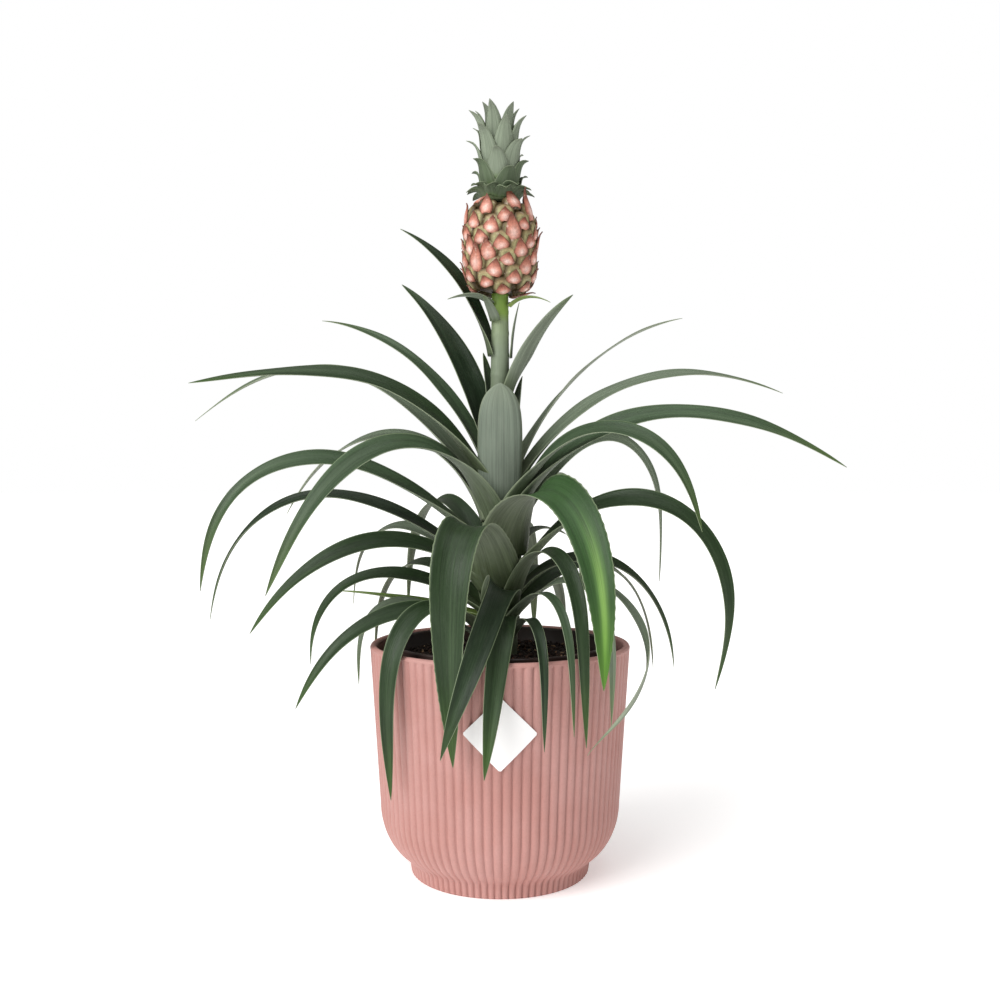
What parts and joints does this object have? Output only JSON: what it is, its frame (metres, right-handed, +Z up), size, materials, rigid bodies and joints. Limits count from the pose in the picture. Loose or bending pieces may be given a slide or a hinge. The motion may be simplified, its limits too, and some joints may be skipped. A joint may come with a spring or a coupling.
{
  "type": "potted pineapple plant",
  "caption": "Ornamental pineapple plant with arching leaves and a small crowned fruit on a stalk, standing in a grow pot inside a fluted round cover pot.",
  "frame": {"origin": "middle of the cover pot's flat base, on the surface it stands on", "axes": "+Z up along the pot and stem; -Y is the front, where the blank card is"},
  "size_m": [0.3556, 0.1953, 0.4104],
  "materials": {
    "cover_pot": "matt dusty pink moulded plastic",
    "grow_pot": "thin dark brown-black plastic",
    "soil": "moist crumbly potting soil with pale specks",
    "stem": "waxy pale green plant stem",
    "leaf": "satin grey-green leaf with lengthwise lines, paler below",
    "stalk_leaf": "satin yellow-green to grey-green young leaf",
    "fruit": "salmon-pink fruitlets with green-brown rims",
    "crown": "waxy grey-green leaf tuft",
    "card": "plain white coated card"
  },
  "bodies": {
    "root": {"cover_pot": "cover_pot", "nursery_pot": "grow_pot", "potting_soil": "soil", "stem": "stem", "fruit": "fruit", "crown": "crown", "pot_label": "card", "stalk_leaf_left": "stalk_leaf", "stalk_leaf_right": "stalk_leaf", "stalk_bract_left": "stalk_leaf", "stalk_bract_right": "stalk_leaf", "heart_leaf_front": "leaf", "heart_leaf_right": "leaf", "heart_leaf_left": "leaf", "upper_leaf_1": "leaf", "upper_leaf_2": "leaf", "upper_leaf_3": "leaf", "upper_leaf_4": "leaf", "upper_leaf_5": "leaf", "upper_leaf_6": "leaf", "middle_leaf_1": "leaf", "middle_leaf_2": "leaf", "middle_leaf_3": "leaf", "middle_leaf_4": "leaf", "middle_leaf_5": "leaf", "middle_leaf_6": "leaf", "middle_leaf_7": "leaf", "middle_leaf_8": "leaf", "middle_leaf_9": "leaf", "middle_leaf_10": "leaf", "middle_leaf_11": "leaf", "middle_leaf_12": "leaf", "middle_leaf_13": "leaf", "middle_leaf_14": "leaf", "skirt_leaf_1": "leaf", "skirt_leaf_2": "leaf", "skirt_leaf_3": "leaf", "skirt_leaf_4": "leaf", "skirt_leaf_5": "leaf", "skirt_leaf_6": "leaf", "skirt_leaf_7": "leaf", "skirt_leaf_8": "leaf", "skirt_leaf_9": "leaf", "skirt_leaf_10": "leaf", "skirt_leaf_11": "leaf", "skirt_leaf_12": "leaf", "skirt_leaf_13": "leaf", "skirt_leaf_14": "leaf", "skirt_leaf_15": "leaf", "skirt_leaf_16": "leaf", "skirt_leaf_17": "leaf", "skirt_leaf_18": "leaf", "skirt_leaf_19": "leaf", "fruit_bract_left": "stalk_leaf", "fruit_bract_right": "stalk_leaf", "fruit_bract_front": "stalk_leaf", "fruit_bract_back": "stalk_leaf"}
  },
  "joints": []
}
